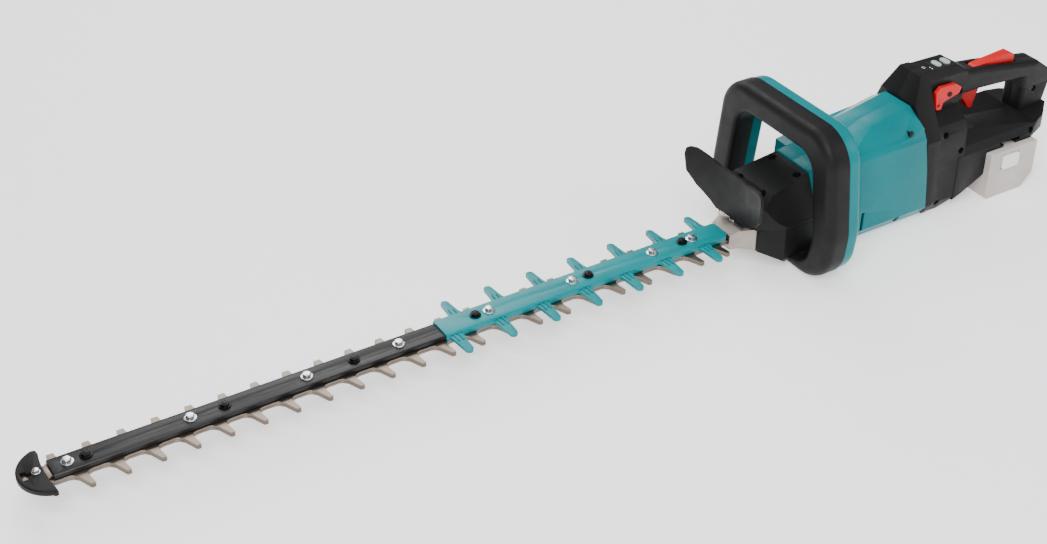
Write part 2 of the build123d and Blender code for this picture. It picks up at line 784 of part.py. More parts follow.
write_piece("front_handle_grip", with_screw_holes(front_handle_grip.part))
write_piece("front_handle_back", with_screw_holes(front_handle_back.part))

with BuildPart() as handle_screws:
    for x, y in handle_screw_spots:
        add(rod(x, y, floor_z + 5, loop_floor, 1.7))
        add(rod(x, y, floor_z + 2.6, floor_z + 5, 3.8))

write_piece("handle_screws", handle_screws)

with BuildPart() as hand_guard:
    guard_thick = 4.0
    with BuildSketch(Plane.XY.offset(20)):
        with BuildLine():
            ThreePointArc((749, 69), (766, 0), (749, -69))
            Line((749, -69), (749 - guard_thick, -69))
            ThreePointArc((749 - guard_thick, -69), (766 - guard_thick, 0), (749 - guard_thick, 69))
            Line((749 - guard_thick, 69), (749, 69))
        make_face()
    extrude(amount=75)
    shield = mirrored([(24, 74), (56, 83), (66, 82), (68, 73), (65, 52), (52, 38), (34, 27), (24, 20)])
    extrude(outline(shield, Plane.YZ, 4), amount=reach, both=True, mode=Mode.INTERSECT)
    add(block((762, 770), (-12, 12), (21, 34)))

write_piece("hand_guard", hand_guard)

with BuildPart() as cover_screws:
    for x, y in cover_screw_spots:
        add(rod(x, y, case_top + lid_thick, 46, 1.5))
        add(rod(x, y, 46, 48.6, 3.6))

write_piece("cover_screws", cover_screws)


# =====================================================================================
# Motor housing: two halves, open where the gear case enters and where the handle turns
# =====================================================================================

main_side = [(859, -28), (859, 66), (898, 72), (seam_x(82), 82), (seam_x(-33), -33), (864, -33)]
main_front = mirrored([(43, 86), (49, 72), (51, 30), (50, -20), (39, -36)])
hood_side = [(843.5, 40.5), (843.5, 67), (870, 73), (870, 40.5)]
dome_side = [(884, 60), (884, 68), (935, 93), (seam_x(103), 103), (seam_x(60), 60)]
dome_front = mirrored([(16, 96), (45, 74), (45, 20)])
dome_rise = 0.19


def motor_block(inset):
    """The motor housing's outer form, or the same pulled in by the wall."""
    with BuildPart() as form:
        add(from_views(main_side, main_front, None, radii=(0, 3 if not inset else 0, 0), inset=inset))
        add(from_views(hood_side, gear_cover_front, None, inset=inset))
        with BuildPart(mode=Mode.PRIVATE) as dome:
            section = outline(dome_front, Plane.YZ.offset(835), inset=inset)
            rise = Vector(0, 0, (835 - 935) * dome_rise)
            extrude(section.moved(Location(rise)), amount=250, dir=(1, 0, dome_rise))
            extrude(outline(dome_side, Plane.XZ, inset=inset), amount=reach, both=True, mode=Mode.INTERSECT)
        add(dome.part)
        if inset:
            add(block((843.5 + inset, 880), (-26, 26), (42, 64)))
    return form.part


with BuildPart() as turn_hole:
    with BuildSketch(turn_axis.offset(-2 * wall)):
        Circle(spigot_hole)
    extrude(amount=4 * wall)

with BuildPart() as motor_shell:
    add(motor_block(0))
    add(motor_block(wall), mode=Mode.SUBTRACT)
    add(block((858, 864), (-47.4, 47.4), (case_low - 0.4, boss_top + 4)), mode=Mode.SUBTRACT)
    add(turn_hole.part, mode=Mode.SUBTRACT)
    for number in range(5):
        add(block((872 + 9 * number, 876 + 9 * number), (-60, 60), (-20, 4)), mode=Mode.SUBTRACT)

housing_screw_spots = [(880, -24), (880, 54), (965, -24), (972, 84)]
with BuildPart() as motor_posts:
    for x, z in housing_screw_spots:
        add(cross_rod(x, z, 60, 5.5))
    add(motor_block(wall - 0.1), mode=Mode.INTERSECT)
    add(case_envelope, mode=Mode.SUBTRACT)

with BuildPart() as motor_form:
    add(motor_shell.part)
    add(motor_posts.part)
    for x, z in housing_screw_spots:
        add(cross_rod(x, z, 60, 1.6), mode=Mode.SUBTRACT)
        with BuildSketch(Plane.XZ.offset(44)):
            with Locations((x, z)):
                Circle(4)
        extrude(amount=30, mode=Mode.SUBTRACT)

with BuildPart() as motor_housing_left:
    add(motor_form.part)
    split(bisect_by=Plane.XZ, keep=Keep.TOP)

with BuildPart() as motor_housing_right:
    add(motor_form.part)
    split(bisect_by=Plane.XZ, keep=Keep.BOTTOM)

write_piece("motor_housing_left", motor_housing_left)
write_piece("motor_housing_right", motor_housing_right)

with BuildPart() as housing_screws:
    for x, z in housing_screw_spots:
        with BuildSketch(Plane.XZ.offset(-30)):
            with Locations((x, z)):
                Circle(1.5)
        extrude(amount=74)
        with BuildSketch(Plane.XZ.offset(44)):
            with Locations((x, z)):
                Circle(3.5)
        extrude(amount=2.6)

write_piece("housing_screws", housing_screws)

with BuildPart() as turn_ring:
    with BuildSketch(turn_axis.offset(-wall - 0.3 - 3.0)):
        Circle(spigot_flange)
        Circle(spigot_bore, mode=Mode.SUBTRACT)
    extrude(amount=3.0)
    with BuildSketch(turn_axis.offset(-wall - 0.3)):
        Circle(spigot_radius)
        Circle(spigot_bore, mode=Mode.SUBTRACT)
    extrude(amount=wall + 0.3 + seam_gap)

write_piece("turn_ring", turn_ring)


# =====================================================================================
# Rear handle
# =====================================================================================


def behind_seam(z):
    return seam_x(z) + seam_gap / math.cos(math.radians(seam_tilt))


flange_side = [(behind_seam(-34), -34), (1016, -35), (1016, 133.7), (1003, 134.5), (behind_seam(106), 106)]
flange_front = mirrored([(15, 140), (30, 103), (50, 65), (50, -20), (39, -39)])
hump_side = [(1013, -34.5), (1034, -36), (1053, -24), (1058, -21), (1058, 88), (1068, 90), (1073, 122), (1064, 131), (1013, 133.7)]
hump_front = mirrored([(12, 140), (20, 125), (22, 88), (42, 77), (47, 66), (48.5, 30), (48.5, -20), (38, -39)])
low_side = [(1050, -26), (1094, -4), (1094, 24.5), (1213, 24.5), (1213, 44), (1172, 40), (1090, 50), (1066, 72), (1050, 72)]
low_front = mirrored([(14, 76), (28, 50), (44, 40), (49, 31), (49, -20), (44, -50)])
low_plan = widths([(1030, 49), (1163, 49), (1192, 37), (1216, 16)])
hoop_side = [(1050, 89.5), (1050, 131.6), (1064, 131), (1084, 118.5), (1110, 115), (1172, 104), (1196, 100), (1222, 81),
             (1213, 44), (1213, 26), (1174, 26), (1174, 84), (1100, 89.5)]


def grip_hoop(inset):
    """The grip and its rear post, with rounded edges."""
    half = grip_half - inset
    with BuildPart() as hoop:
        extrude(outline(hoop_side, Plane.XZ, inset=inset), amount=half, both=True)
        rounded = hoop.edges().filter_by(lambda e: abs(abs(e.center().Y) - half) < 0.01 and e.center().X > 1070)
        fillet(rounded, 6.0 if inset < 2 else 4.0)
    return hoop.part


def rear_block(inset):
    """The rear handle's outer form, or the same pulled in by the wall."""
    with BuildPart() as form:
        add(from_views(flange_side, flange_front, None, inset=inset))
        add(from_views(hump_side, hump_front, None, inset=inset))
        add(from_views(low_side, low_front, low_plan, inset=inset))
        add(grip_hoop(inset))
        if inset:
            bridge = [(1012.6, -30), (1024, -30), (1024, 127), (1008, 127)]
            add(from_views(bridge, pulled_in(hump_front, inset), None))
    return form.part


outer_rear = rear_block(0)
inner_rear = rear_block(wall)

panel_region = block((1034, 1063), (-10, 10), (127.5, 140))
with BuildPart() as control_panel:
    add(outer_rear)
    add(panel_region, mode=Mode.INTERSECT)
    with BuildSketch(Plane.XY.offset(120)):
        with Locations((1042, 0), (1055, 0)):
            SlotOverall(14.6, 8.6, rotation=90)
    extrude(amount=30, mode=Mode.SUBTRACT)

write_piece("control_panel", control_panel)

button_top = 133.4
for button_name, button_x in (("power_button", 1042), ("speed_button", 1055)):
    with BuildPart() as panel_button:
        with BuildSketch(Plane.XY.offset(125.0)):
            with Locations((button_x, 0)):
                SlotOverall(14, 8, rotation=90)
        extrude(amount=button_top - 125.0)
        fillet(panel_button.faces().sort_by(Axis.Z)[-1].edges(), 0.8)
    write_piece(button_name, panel_button)

soft_region = block((1114, 1230), (-40, 40), (70, 98))
with BuildPart() as soft_grip:
    add(grip_hoop(0))
    add(grip_hoop(1.6), mode=Mode.SUBTRACT)
    add(soft_region, mode=Mode.INTERSECT)

write_piece("soft_grip", soft_grip)

rail_centre = 1130.0
channel_end = 45.0
rear_screw_spots = [(1026, -22), (1026, 66), (1052, 40), (1164, 33), (1192, 66), (1064, 101)]


def screw_reach(x, z):
    """How far out a rear screw's head stands, by where it is."""
    return 12.0 if z > 60 and x > 1060 else 40.0


with BuildPart() as rear_form:
    add(outer_rear)
    add(inner_rear, mode=Mode.SUBTRACT)
    add(block((1108, 1152), (-45, 47), (24.6, 36)))
    for x, z in rear_screw_spots:
        add(cross_rod(x, z, 60, 4.2))
    add(outer_rear, mode=Mode.INTERSECT)
    with BuildSketch(turn_axis.offset(-1)):
        Circle(spigot_bore)
    extrude(amount=8, mode=Mode.SUBTRACT)
    add(panel_region, mode=Mode.SUBTRACT)
    add(soft_grip.part, mode=Mode.SUBTRACT)
    add(block((rail_centre - 9.4, rail_centre + 9.4), (-60, channel_end), (20, 30)), mode=Mode.SUBTRACT)
    add(block((rail_centre - 15.4, rail_centre + 15.4), (-60, channel_end), (27.6, 31.4)), mode=Mode.SUBTRACT)
    add(block((rail_centre - 13.1, rail_centre + 13.1), (channel_end - 1, 48.1), (27.7, 31.3)), mode=Mode.SUBTRACT)
    add(block((1093, 1165), (-7, 7), (95, 130)), mode=Mode.SUBTRACT)
    add(block((1071, 1114), (-6.6, 6.6), (70, 102)), mode=Mode.SUBTRACT)
    for x, z in (lever_pin, trigger_pin):
        add(cross_rod(x, z, 14.0, pin_radius + 0.02), mode=Mode.SUBTRACT)
    with BuildSketch(Plane.XZ.offset(14)):
        with Locations(lock_pin):
            Circle(pin_radius + 0.02)
    extrude(amount=30, mode=Mode.SUBTRACT)
    for x, z in rear_screw_spots:
        half = screw_reach(x, z)
        with BuildSketch(Plane.XZ.offset(-half + 4)):
            with Locations((x, z)):
                Circle(1.55)
        extrude(amount=2 * half - 4, mode=Mode.SUBTRACT)
        with BuildSketch(Plane.XZ.offset(half)):
            with Locations((x, z)):
                Circle(3.9)
        extrude(amount=30, mode=Mode.SUBTRACT)

with BuildPart() as rear_housing_left:
    add(rear_form.part)
    split(bisect_by=Plane.XZ, keep=Keep.TOP)

with BuildPart() as rear_housing_right:
    add(rear_form.part)
    split(bisect_by=Plane.XZ, keep=Keep.BOTTOM)

write_piece("rear_housing_left", rear_housing_left)
write_piece("rear_housing_right", rear_housing_right)

with BuildPart() as rear_screws:
    for x, z in rear_screw_spots:
        half = screw_reach(x, z)
        with BuildSketch(Plane.XZ.offset(-half + 6)):
            with Locations((x, z)):
                Circle(1.5)
        extrude(amount=2 * half - 6)
        with BuildSketch(Plane.XZ.offset(half)):
            with Locations((x, z)):
                Circle(3.4)
        extrude(amount=2.4)

write_piece("rear_screws", rear_screws)

with BuildPart() as upper_lever:
    lever_side = [(1096, 107), (1098, 114.5), (1102, 115.8), (1153, 119.5), (1161, 115), (1161, 102.5), (1108, 104)]
    extrude(outline(lever_side, Plane.XZ, 1.2), amount=6.0, both=True)
    fillet(upper_lever.faces().filter_by(Axis.Y).edges().filter_by(lambda e: e.center().Z > 112), 1.0)
    add(cross_rod(*lever_pin, 30, pin_radius + 0.05), mode=Mode.SUBTRACT)

write_piece("upper_lever", upper_lever)

with BuildPart() as trigger:
    trigger_side = [(1073, 90), (1073, 97), (1108, 94), (1110, 84), (1103, 62), (1098.5, 62), (1090, 74), (1077, 87)]
    extrude(outline(trigger_side, Plane.XZ, 1.0), amount=6.0, both=True)
    add(cross_rod(*trigger_pin, 30, pin_radius + 0.05), mode=Mode.SUBTRACT)

write_piece("trigger", trigger)

with BuildPart() as lever_pins:
    add(cross_rod(*lever_pin, 13.8, pin_radius))
    add(cross_rod(*trigger_pin, 13.8, pin_radius))
    with BuildSketch(Plane.XZ.offset(16)):
        with Locations(lock_pin):
            Circle(pin_radius)
    extrude(amount=11.6)
    with BuildSketch(Plane.XZ.offset(27.6)):
        with Locations(lock_pin):
            Circle(3.0)
    extrude(amount=0.8)

write_piece("lever_pins", lever_pins)

lock_low = 22.4
with BuildPart() as lock_lever:
    lock_side = [(1024, 90), (1021, 112), (1027, 118), (1050, 117), (1060, 110), (1057, 103), (1040, 99), (1034, 97), (1032, 88)]
    extrude(outline(lock_side, Plane.XZ.offset(lock_low), 2.0), amount=5.0)
    fillet(lock_lever.faces().sort_by(Axis.Y)[0].edges(), 0.8)
    add(cross_rod(*lock_pin, 60, pin_radius + 0.05), mode=Mode.SUBTRACT)
    add(cross_rod(1027, 95, 60, 2.0), mode=Mode.SUBTRACT)

write_piece("lock_lever", lock_lever)

with BuildPart() as switch_unit:
    add(block((1128, 1154), (-8, 8), (90.6, 95)))
    add(block((1124, 1128), (-2, 2), (91.5, 93.5)))

write_piece("switch_unit", switch_unit)

with BuildPart() as controller_board:
    add(block((1036, 1037.6), (-34, 34), (-14, 56)))
    for z in (-6, 10, 26):
        add(block((1037.6, 1046), (-24, -12), (z, z + 10)))
        add(block((1037.6, 1043), (4, 18), (z, z + 8)))

write_piece("controller_board", controller_board)

with BuildPart() as battery_terminals:
    add(block((rail_centre - 13, rail_centre + 13), (channel_end + 0.1, 48), (27.8, 31.2)))
    for x in (rail_centre - 6, rail_centre + 6):
        add(block((x - 0.5, x + 0.5), (36, channel_end + 1), (28.6, 30.4)))

write_piece("battery_terminals", battery_terminals)

# =====================================================================================
# Battery
# =====================================================================================

pack_side = [(pack_x[0] + 1, pack_low + 3), (pack_x[0] + 4, pack_low), (pack_x[1] - 16, pack_low), (pack_x[1], pack_low + 16),
             (pack_x[1], 24), (pack_x[0] + 1, 24)]
pack_plan = [(1080, pack_front_y), (1180, pack_front_y), (1180, pack_rear_y), (1080, pack_rear_y)]
with BuildPart() as battery_case:
    add(from_views(pack_side, None, pack_plan, radii=(0, 0, 0)))
    long_edges = battery_case.edges().filter_by(Axis.Y)
    fillet(long_edges, 2.0)
    add(block((rail_centre - 9, rail_centre + 9), (-30, 44), (23, 28)))
    add(block((rail_centre - 15, rail_centre + 15), (-30, 44), (28, 31)))
    add(from_views(pack_side, None, pack_plan, inset=2.5), mode=Mode.SUBTRACT)
    for x in (rail_centre - 6, rail_centre + 6):
        add(block((x - 1.2, x + 1.2), (34, 46), (28.2, 33)), mode=Mode.SUBTRACT)
    add(block((1113, 1139), (-60, -48), (0, 18)), mode=Mode.SUBTRACT)

write_piece("battery_case", battery_case)

with BuildPart() as battery_cells:
    cell_radius = 9.0
    for row, z in enumerate((-22.5, -2.5)):
        for number in range(3):
            x = 1107.5 + 21.0 * number
            if row == 0 and number == 2:
                x -= 4.0
            for y in (-46.5, 3.0):
                with BuildSketch(Plane.XZ.offset(-y)):
                    with Locations((x, z)):
                        Circle(cell_radius)
                extrude(amount=-48 if y < 0 else -48)

write_piece("battery_cells", battery_cells)

with BuildPart() as battery_button:
    with BuildSketch(Plane.XZ.offset(52)):
        with Locations((1126, 9)):
            RectangleRounded(25.4, 17.4, 3)
    extrude(amount=8)
    fillet(battery_button.faces().sort_by(Axis.Y)[0].edges(), 1.2)

write_piece("battery_button", battery_button)
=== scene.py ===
import json
import math

import bmesh
import bpy
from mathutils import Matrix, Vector
from mathutils.bvhtree import BVHTree


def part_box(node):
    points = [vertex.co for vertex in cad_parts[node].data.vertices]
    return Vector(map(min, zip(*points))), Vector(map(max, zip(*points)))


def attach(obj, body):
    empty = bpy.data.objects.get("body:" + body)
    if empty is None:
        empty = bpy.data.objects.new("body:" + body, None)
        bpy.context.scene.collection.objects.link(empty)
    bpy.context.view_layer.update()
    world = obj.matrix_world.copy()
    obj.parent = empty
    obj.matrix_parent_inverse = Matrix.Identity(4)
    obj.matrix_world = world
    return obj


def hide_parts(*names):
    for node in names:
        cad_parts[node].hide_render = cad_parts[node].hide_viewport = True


bl_info = {
    "name": "Hedge Trimmer",
    "version": (1, 0, 0),
    "blender": (4, 5, 0),
    "location": "3D View > Sidebar > Hedge Trimmer",
    "description": "Builds a battery hedge trimmer's visible surfaces round its fixed frame",
    "category": "Object",
}

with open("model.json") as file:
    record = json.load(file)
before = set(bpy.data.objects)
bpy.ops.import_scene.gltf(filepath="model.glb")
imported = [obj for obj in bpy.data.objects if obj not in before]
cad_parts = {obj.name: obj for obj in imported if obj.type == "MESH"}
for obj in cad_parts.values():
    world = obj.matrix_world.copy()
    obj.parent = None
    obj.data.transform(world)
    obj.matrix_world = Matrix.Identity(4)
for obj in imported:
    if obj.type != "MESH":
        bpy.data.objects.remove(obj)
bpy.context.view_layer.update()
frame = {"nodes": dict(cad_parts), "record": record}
MM = 0.001
SAME_SPOT = 2e-6
FLAT_WITHIN = math.radians(0.6)
ROUNDED_OVER = math.radians(25)
SMOOTH_UNDER = math.radians(35)
FULL_TURN = 2 * math.pi
MARK_SINK = 0.1 * MM
FINE_EDGE = 0.4 * MM
SOFT_EDGE = 0.5 * MM
SMALL_EDGE = 0.6 * MM
COVER_EDGE = 0.7 * MM
CASE_EDGE = 0.9 * MM
LEVER_EDGE = 1.0 * MM
BATTERY_EDGE = 1.2 * MM
GUARD_EDGE = 1.4 * MM
LOOP_BACK_EDGE = 3.0 * MM
LOOP_GRIP_EDGE = 6.0 * MM


# ---------------------------------------------------------------- settings


class TrimmerFinish(bpy.types.PropertyGroup):
    """Colours of the trimmer's plastics"""

    shell_color: bpy.props.FloatVectorProperty(
        name="Shell", description="Colour of the motor housing and blade cover",
        subtype="COLOR", size=3, min=0, max=1, default=(0.0, 0.17, 0.19),
    )
    dark_color: bpy.props.FloatVectorProperty(
        name="Dark plastic", description="Colour of the handles and covers",
        subtype="COLOR", size=3, min=0, max=1, default=(0.0065, 0.0065, 0.0068),
    )
    control_color: bpy.props.FloatVectorProperty(
        name="Controls", description="Colour of the levers",
        subtype="COLOR", size=3, min=0, max=1, default=(0.62, 0.004, 0.008),
    )


class TrimmerEdges(bpy.types.PropertyGroup):
    """Sizes of the small rounded edges"""

    shell_edge: bpy.props.FloatProperty(
        name="Shell edge", description="Radius of the moulded housings' edges",
        unit="LENGTH", subtype="DISTANCE", default=1.0 * MM,
    )
    metal_edge: bpy.props.FloatProperty(
        name="Metal edge", description="Width of the ground edges of the blades and plates",
        unit="LENGTH", subtype="DISTANCE", default=0.45 * MM,
    )
    grip_rib: bpy.props.FloatProperty(
        name="Grip rib", description="Height of the ribs on the soft grip",
        unit="LENGTH", subtype="DISTANCE", default=0.7 * MM,
    )


# ---------------------------------------------------------------- material expressions


class Sock:
    """A shader socket that takes part in Python arithmetic."""

    def __init__(self, tree, socket):
        self.tree = tree
        self.socket = socket

    def _math(self, operation, *values):
        return self.tree.node("ShaderNodeMath", {"operation": operation}, dict(enumerate(values)))

    def __add__(self, other):
        return self._math("ADD", self, other)

    __radd__ = __add__

    def __sub__(self, other):
        return self._math("SUBTRACT", self, other)

    def __rsub__(self, other):
        return self._math("SUBTRACT", other, self)

    def __mul__(self, other):
        return self._math("MULTIPLY", self, other)

    __rmul__ = __mul__


class Finish:
    """One procedural material, made from a Principled shader and whatever feeds it."""

    def __init__(self, name):
        self.material = bpy.data.materials.new(name)
        self.material.use_nodes = True
        self.nodes = self.material.node_tree.nodes
        self.links = self.material.node_tree.links
        self.shader = self.nodes["Principled BSDF"]
        self.place = self.node("ShaderNodeTexCoord", output="Object")

    def node(self, kind, settings=None, inputs=None, output=0):
        made = self.nodes.new(kind)
        for key, value in (settings or {}).items():
            setattr(made, key, value)
        for key, value in (inputs or {}).items():
            self.feed(made.inputs[key], value)
        return Sock(self, made.outputs[output])

    def feed(self, socket, value):
        if isinstance(value, Sock):
            self.links.new(value.socket, socket)
        else:
            socket.default_value = value

    def noise(self, scale, detail=2.0, stretch=(1, 1, 1)):
        place = self.node("ShaderNodeMapping", {"vector_type": "POINT"},
                          {"Vector": self.place, "Scale": stretch})
        return self.node("ShaderNodeTexNoise", {"noise_dimensions": "3D"},
                         {"Vector": place, "Scale": scale, "Detail": detail}, "Fac")

    def span(self, value, low, high, out_low, out_high):
        return self.node("ShaderNodeMapRange", {"clamp": True},
                         {"Value": value, "From Min": low, "From Max": high,
                          "To Min": out_low, "To Max": out_high})

    def tint(self, factor, first, second):
        made = self.nodes.new("ShaderNodeMix")
        made.data_type = "RGBA"
        self.feed(made.inputs["Factor"], factor)
        self.feed(made.inputs[6], (*first, 1))
        self.feed(made.inputs[7], (*second, 1))
        return Sock(self, made.outputs[2])

    def bump(self, height, strength, distance):
        return self.node("ShaderNodeBump", None,
                         {"Height": height, "Strength": strength, "Distance": distance}, "Normal")

    def set(self, **values):
        for key, value in values.items():
            self.feed(self.shader.inputs[key.replace("_", " ")], value)


def scaled(color, factor):
    return tuple(min(1.0, channel * factor) for channel in color)


def moulded(name, color, roughness, grain=0.12, gloss=0.18):
    """Injection-moulded plastic: spark-eroded grain, faint flow marks and slightly uneven gloss."""
    finish = Finish(name)
    flow = finish.noise(14, 3)
    speck = finish.noise(1700, 2)
    color_mix = finish.tint(finish.span(flow, 0.3, 0.7, 0, 1), scaled(color, 0.9), scaled(color, 1.12))
    uneven = finish.noise(60, 4) * 0.6 + speck * 0.4
    rough = finish.span(uneven, 0.35, 0.65, roughness - 0.06, roughness + 0.07)
    finish.set(Base_Color=color_mix, Roughness=rough, Normal=finish.bump(speck, grain, 0.0002))
    finish.set(IOR=1.5, Specular_IOR_Level=gloss)
    return finish.material


def ground_steel(name, color, roughness, stretch=(1, 14, 1)):
    """Metal with fine grinding lines and small changes of tone."""
    finish = Finish(name)
    lines = finish.noise(420, 4, stretch)
    cloud = finish.noise(30, 3)
    mixed = finish.span(lines * 0.5 + cloud * 0.5, 0.35, 0.65, 0, 1)
    tone = finish.tint(mixed, scaled(color, 0.82), scaled(color, 1.1))
    rough = finish.span(lines * 0.7 + cloud * 0.3, 0.3, 0.7, roughness - 0.08, roughness + 0.12)
    finish.set(Base_Color=tone, Roughness=rough, Normal=finish.bump(lines, 0.1, 0.0001), Metallic=1.0)
    return finish.material


def cast_metal(name, color):
    """Die-cast alloy: a pebbled skin with darker pits."""
    finish = Finish(name)
    pebble = finish.noise(900, 3)
    cloud = finish.noise(45, 3)
    mixed = finish.span(pebble * 0.4 + cloud * 0.6, 0.35, 0.65, 0, 1)
    tone = finish.tint(mixed, scaled(color, 0.75), scaled(color, 1.1))
    finish.set(Base_Color=tone, Roughness=finish.span(pebble, 0.3, 0.7, 0.36, 0.56), Metallic=0.9)
    finish.set(Normal=finish.bump(pebble, 0.35, 0.0003))
    return finish.material


def painted_bar(name, color):
    """Black baked coating on the bar, worn a little along its length."""
    finish = Finish(name)
    drag = finish.noise(90, 5, (0.12, 1, 1))
    speck = finish.noise(1200, 2)
    tone = finish.tint(finish.span(drag, 0.45, 0.75, 0, 1), color, scaled(color, 2.1))
    finish.set(Base_Color=tone, Roughness=finish.span(drag, 0.3, 0.7, 0.36, 0.52))
    finish.set(IOR=1.5, Specular_IOR_Level=0.3)
    finish.set(Normal=finish.bump(speck, 0.15, 0.0002))
    return finish.material


def soft_touch(name, color):
    """Rubber overmould with a fine diamond texture."""
    finish = Finish(name)
    cells = finish.node("ShaderNodeTexVoronoi", {"feature": "F1"},
                        {"Vector": finish.place, "Scale": 520}, "Distance")
    cloud = finish.noise(40, 3)
    finish.set(Base_Color=finish.tint(cloud, scaled(color, 0.8), scaled(color, 1.5)),
               Roughness=finish.span(cloud, 0.3, 0.7, 0.66, 0.8), Normal=finish.bump(cells, 0.45, 0.0004))
    return finish.material


def frosted(name, color):
    """Pale battery plastic with a faint cloudy depth."""
    finish = Finish(name)
    cloud = finish.noise(28, 4)
    speck = finish.noise(1500, 2)
    depth = finish.span(cloud, 0.35, 0.65, 0, 1)
    finish.set(Base_Color=finish.tint(depth, scaled(color, 0.92), scaled(color, 1.06)),
               Roughness=finish.span(speck, 0.3, 0.7, 0.42, 0.54), Normal=finish.bump(speck, 0.12, 0.0002))
    finish.set(Subsurface_Weight=0.15, Subsurface_Scale=0.01)
    return finish.material


def make_finishes(look):
    """Every material slot's finish, by its name in the record."""
    shell, dark, control = tuple(look.shell_color), tuple(look.dark_color), tuple(look.control_color)
    return {
        "teal_plastic": moulded("teal_plastic", shell, 0.3, 0.08, 0.14),
        "cover_teal": moulded("cover_teal", scaled(shell, 1.25), 0.3, 0.06, 0.2),
        "black_plastic": moulded("black_plastic", dark, 0.5, 0.3),
        "soft_rubber": soft_touch("soft_rubber", (0.005, 0.005, 0.005)),
        "blade_steel": ground_steel("blade_steel", (0.19, 0.155, 0.128), 0.33),
        "bar_black": painted_bar("bar_black", (0.0065, 0.0065, 0.007)),
        "case_metal": cast_metal("case_metal", (0.42, 0.375, 0.33)),
        "zinc_steel": ground_steel("zinc_steel", (0.6, 0.62, 0.65), 0.24, (1, 1, 6)),
        "black_steel": ground_steel("black_steel", (0.02, 0.02, 0.022), 0.36, (1, 1, 6)),
        "gear_steel": ground_steel("gear_steel", (0.38, 0.38, 0.4), 0.35, (1, 1, 8)),
        "copper": ground_steel("copper", (0.72, 0.3, 0.13), 0.35, (1, 1, 20)),
        "bronze": ground_steel("bronze", (0.55, 0.38, 0.18), 0.4, (1, 1, 4)),
        "felt": soft_touch("felt", (0.3, 0.28, 0.25)),
        "fan_plastic": moulded("fan_plastic", (0.06, 0.06, 0.06), 0.5),
        "red_plastic": moulded("red_plastic", control, 0.33, 0.08, 0.25),
        "trigger_plastic": moulded("trigger_plastic", scaled(control, 0.62), 0.42, 0.1),
        "panel_plastic": moulded("panel_plastic", scaled(dark, 1.6), 0.38, 0.1),
        "key_plastic": moulded("key_plastic", (0.4, 0.5, 0.44), 0.35, 0.06),
        "battery_plastic": frosted("battery_plastic", (0.52, 0.475, 0.445)),
        "cell_wrap": moulded("cell_wrap", (0.08, 0.16, 0.4), 0.35),
        "white_plastic": moulded("white_plastic", (0.88, 0.88, 0.86), 0.4, 0.08),
        "board": moulded("board", (0.03, 0.15, 0.06), 0.4),
        "switch_plastic": moulded("switch_plastic", (0.05, 0.05, 0.06), 0.45),
    }


FINISHES = {}


def slot_of(node):
    """The name of a node's material slot."""
    for row in frame["record"]["subparts"]:
        if row["node"] == node:
            return row["material_slot"]
    raise RuntimeError(f"no slot for {node}")


# ---------------------------------------------------------------- mesh helpers


def body_of(node):
    """The name of the body that a node rides on."""
    for body, nodes in frame["record"]["behaviour"]["bodies"].items():
        if node in nodes:
            return body
    raise RuntimeError(f"no body for {node}")


def add_object(name, mesh, material):
    """A new object in the scene, with one finish."""
    piece = bpy.data.objects.new(name, mesh)
    bpy.context.scene.collection.objects.link(piece)
    mesh.materials.clear()
    mesh.materials.append(material)
    return piece


def made_plain(piece):
    """Turns a piece's modifiers into plain mesh and takes them off."""
    graph = bpy.context.evaluated_depsgraph_get()
    mesh = bpy.data.meshes.new_from_object(piece.evaluated_get(graph))
    piece.modifiers.clear()
    piece.data = mesh


def shade(mesh):
    """Smooth shading, with the sharper edges kept."""
    mesh.polygons.foreach_set("use_smooth", [True] * len(mesh.polygons))
    mesh.set_sharp_from_angle(angle=SMOOTH_UNDER)


def merged(node):
    """A working copy of a CAD node's mesh, with its loose triangles joined."""
    work = bmesh.new()
    work.from_mesh(frame["nodes"][node].data)
    bmesh.ops.remove_doubles(work, verts=work.verts, dist=SAME_SPOT)
    return work


def mesh_from(work, name):
    """A new mesh from a working copy, which is then freed."""
    mesh = bpy.data.meshes.new(name)
    work.to_mesh(mesh)
    work.free()
    return mesh


def softened(node, edge, segments=2, material=None):
    """A copy of a CAD node, its loose triangles joined and its edges rounded, which stands for it."""
    work = merged(node)
    bmesh.ops.dissolve_limit(work, angle_limit=FLAT_WITHIN, verts=work.verts, edges=work.edges)
    name = f"{node}_skin"
    piece = add_object(name, mesh_from(work, name), material or FINISHES[slot_of(node)])
    bevel = piece.modifiers.new("edge", "BEVEL")
    bevel.width = edge
    bevel.segments = segments
    bevel.limit_method = "ANGLE"
    bevel.angle_limit = ROUNDED_OVER
    bevel.miter_outer = "MITER_ARC"
    made_plain(piece)
    shade(piece.data)
    settle(piece, node)


def settle(piece, node):
    """A finished piece stands for a node and rides on the node's body."""
    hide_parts(node)
    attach(piece, body_of(node))


def trim_piece(piece, node):
    """A small added piece rides with a node."""
    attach(piece, body_of(node))


def lathe(name, profile, steps, material):
    """A closed turned piece from (radius, height) points, about the Z axis.

    The profile starts and ends on the axis, or ends where it starts.
    """
    work = bmesh.new()
    turns = [FULL_TURN * k / steps for k in range(steps)]
    rings = []
    for radius, height in profile:
        if radius == 0:
            rings.append([work.verts.new((0, 0, height))])
        else:
            rings.append([work.verts.new((radius * math.cos(a), radius * math.sin(a), height))
                          for a in turns])
    for low, high in zip(rings, rings[1:]):
        for k in range(steps):
            around = (k + 1) % steps
            corners = [low[k % len(low)], low[around % len(low)],
                       high[around % len(high)], high[k % len(high)]]
            work.faces.new(list(dict.fromkeys(corners)))
    bmesh.ops.remove_doubles(work, verts=work.verts, dist=SAME_SPOT)
    bmesh.ops.recalc_face_normals(work, faces=work.faces)
    mesh = mesh_from(work, name)
    shade(mesh)
    return add_object(name, mesh, material)


